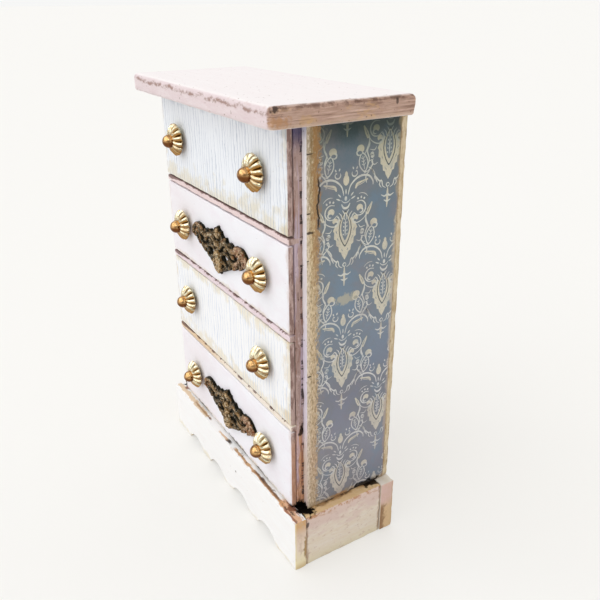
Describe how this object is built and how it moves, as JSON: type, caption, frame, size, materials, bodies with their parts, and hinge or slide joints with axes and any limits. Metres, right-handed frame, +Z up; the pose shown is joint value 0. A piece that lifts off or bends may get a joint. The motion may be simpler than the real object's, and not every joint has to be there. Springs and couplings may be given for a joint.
{
  "type": "miniature chest of drawers",
  "caption": "Dolls' house chest of drawers: painted boards on a scalloped plinth, sliding drawers with fluted gilt knobs and filigree, and papered sides.",
  "frame": {"origin": "centre of the bounding box in plan, on the floor plane under the plinth", "axes": "+Z up, -Y out of the drawer fronts, +X to the right seen from the front"},
  "size_m": [0.0676, 0.0304, 0.1],
  "materials": {
    "painted_wood": "chalky distressed paint",
    "mauve_wood": "worn mauve paint",
    "bare_wood": "sanded bare wood",
    "damask_paper": "matt printed damask",
    "gilt_brass": "polished",
    "aged_filigree": "aged bronze patina"
  },
  "bodies": {
    "carcase": {"carcase_back": "bare_wood", "carcase_bottom": "bare_wood", "carcase_side_left": "mauve_wood", "carcase_side_right": "mauve_wood", "drawer_divider_1": "painted_wood", "drawer_divider_2": "painted_wood", "drawer_divider_3": "painted_wood", "plinth_back": "painted_wood", "plinth_corner_blocks": "bare_wood", "plinth_front": "painted_wood", "plinth_side_left": "painted_wood", "plinth_side_right": "painted_wood", "side_panel_left": "painted_wood", "side_panel_right": "painted_wood", "side_paper_left": "damask_paper", "side_paper_right": "damask_paper", "sub_top": "bare_wood", "top_board": "painted_wood"},
    "drawer_1": {"drawer_1_back": "bare_wood", "drawer_1_bottom": "bare_wood", "drawer_1_front": "painted_wood", "drawer_1_knob_caps": "gilt_brass", "drawer_1_knob_pins": "gilt_brass", "drawer_1_side_left": "bare_wood", "drawer_1_side_right": "bare_wood"},
    "drawer_2": {"drawer_2_back": "bare_wood", "drawer_2_bottom": "bare_wood", "drawer_2_filigree": "aged_filigree", "drawer_2_front": "painted_wood", "drawer_2_knob_caps": "gilt_brass", "drawer_2_knob_pins": "gilt_brass", "drawer_2_side_left": "bare_wood", "drawer_2_side_right": "bare_wood"},
    "drawer_3": {"drawer_3_back": "bare_wood", "drawer_3_bottom": "bare_wood", "drawer_3_front": "painted_wood", "drawer_3_knob_caps": "gilt_brass", "drawer_3_knob_pins": "gilt_brass", "drawer_3_side_left": "bare_wood", "drawer_3_side_right": "bare_wood"},
    "drawer_4": {"drawer_4_back": "bare_wood", "drawer_4_bottom": "bare_wood", "drawer_4_filigree": "aged_filigree", "drawer_4_front": "painted_wood", "drawer_4_knob_caps": "gilt_brass", "drawer_4_knob_pins": "gilt_brass", "drawer_4_side_left": "bare_wood", "drawer_4_side_right": "bare_wood"}
  },
  "joints": [
    {"name": "drawer_1_slide", "type": "slide", "parent": "carcase", "child": "drawer_1", "axis": [0, -1, 0], "range_m": [0, 0.016]},
    {"name": "drawer_2_slide", "type": "slide", "parent": "carcase", "child": "drawer_2", "axis": [0, -1, 0], "range_m": [0, 0.016]},
    {"name": "drawer_3_slide", "type": "slide", "parent": "carcase", "child": "drawer_3", "axis": [0, -1, 0], "range_m": [0, 0.016]},
    {"name": "drawer_4_slide", "type": "slide", "parent": "carcase", "child": "drawer_4", "axis": [0, -1, 0], "range_m": [0, 0.016]}
  ]
}
